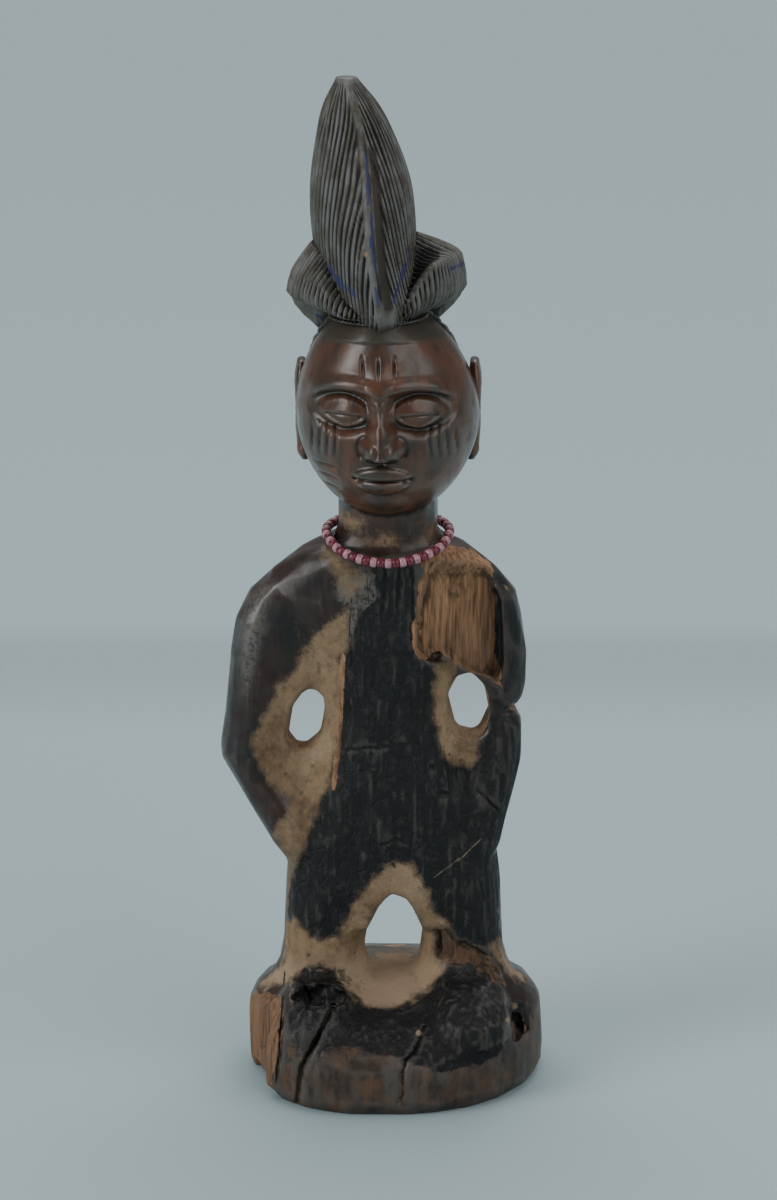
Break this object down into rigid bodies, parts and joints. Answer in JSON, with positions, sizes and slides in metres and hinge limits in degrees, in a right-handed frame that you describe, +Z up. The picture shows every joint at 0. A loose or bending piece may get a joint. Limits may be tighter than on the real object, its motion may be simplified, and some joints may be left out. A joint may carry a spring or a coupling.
{
  "type": "ibeji figure",
  "caption": "Worn and partly charred carved wooden twin figure with a tall fluted crest of hair, standing on a round plinth, with a string of pink and red beads round its neck.",
  "frame": {"origin": "middle of the plinth's flat underside, on the surface that the figure stands on", "axes": "+Z up along the figure, -Y the way the figure faces, +X to the viewer's right in the front view"},
  "size_m": [0.0898, 0.0817, 0.28],
  "materials": {
    "carved_wood": "satin, charred and worn",
    "pink_bead": "satin",
    "red_bead": "gloss",
    "cotton_thread": "matte"
  },
  "bodies": {
    "root": {"ibeji_figure": "carved_wood", "bead_thread": "cotton_thread", "bead_01": "pink_bead", "bead_02": "red_bead", "bead_03": "pink_bead", "bead_04": "red_bead", "bead_05": "pink_bead", "bead_06": "red_bead", "bead_07": "pink_bead", "bead_08": "red_bead", "bead_09": "pink_bead", "bead_10": "red_bead", "bead_11": "pink_bead", "bead_12": "red_bead", "bead_13": "pink_bead", "bead_14": "red_bead", "bead_15": "pink_bead", "bead_16": "red_bead", "bead_17": "pink_bead", "bead_18": "red_bead", "bead_19": "pink_bead", "bead_20": "red_bead", "bead_21": "pink_bead", "bead_22": "red_bead", "bead_23": "pink_bead", "bead_24": "red_bead", "bead_25": "pink_bead", "bead_26": "red_bead", "bead_27": "pink_bead", "bead_28": "red_bead", "bead_29": "pink_bead", "bead_30": "red_bead", "bead_31": "pink_bead", "bead_32": "red_bead", "bead_33": "pink_bead", "bead_34": "red_bead", "bead_35": "pink_bead", "bead_36": "red_bead", "bead_37": "pink_bead", "bead_38": "red_bead", "bead_39": "pink_bead", "bead_40": "red_bead", "bead_41": "pink_bead", "bead_42": "red_bead", "bead_43": "pink_bead", "bead_44": "red_bead", "bead_45": "pink_bead", "bead_46": "red_bead", "bead_47": "pink_bead", "bead_48": "red_bead", "bead_49": "pink_bead", "bead_50": "red_bead", "bead_51": "pink_bead", "bead_52": "red_bead", "bead_53": "pink_bead", "bead_54": "red_bead"}
  },
  "joints": []
}
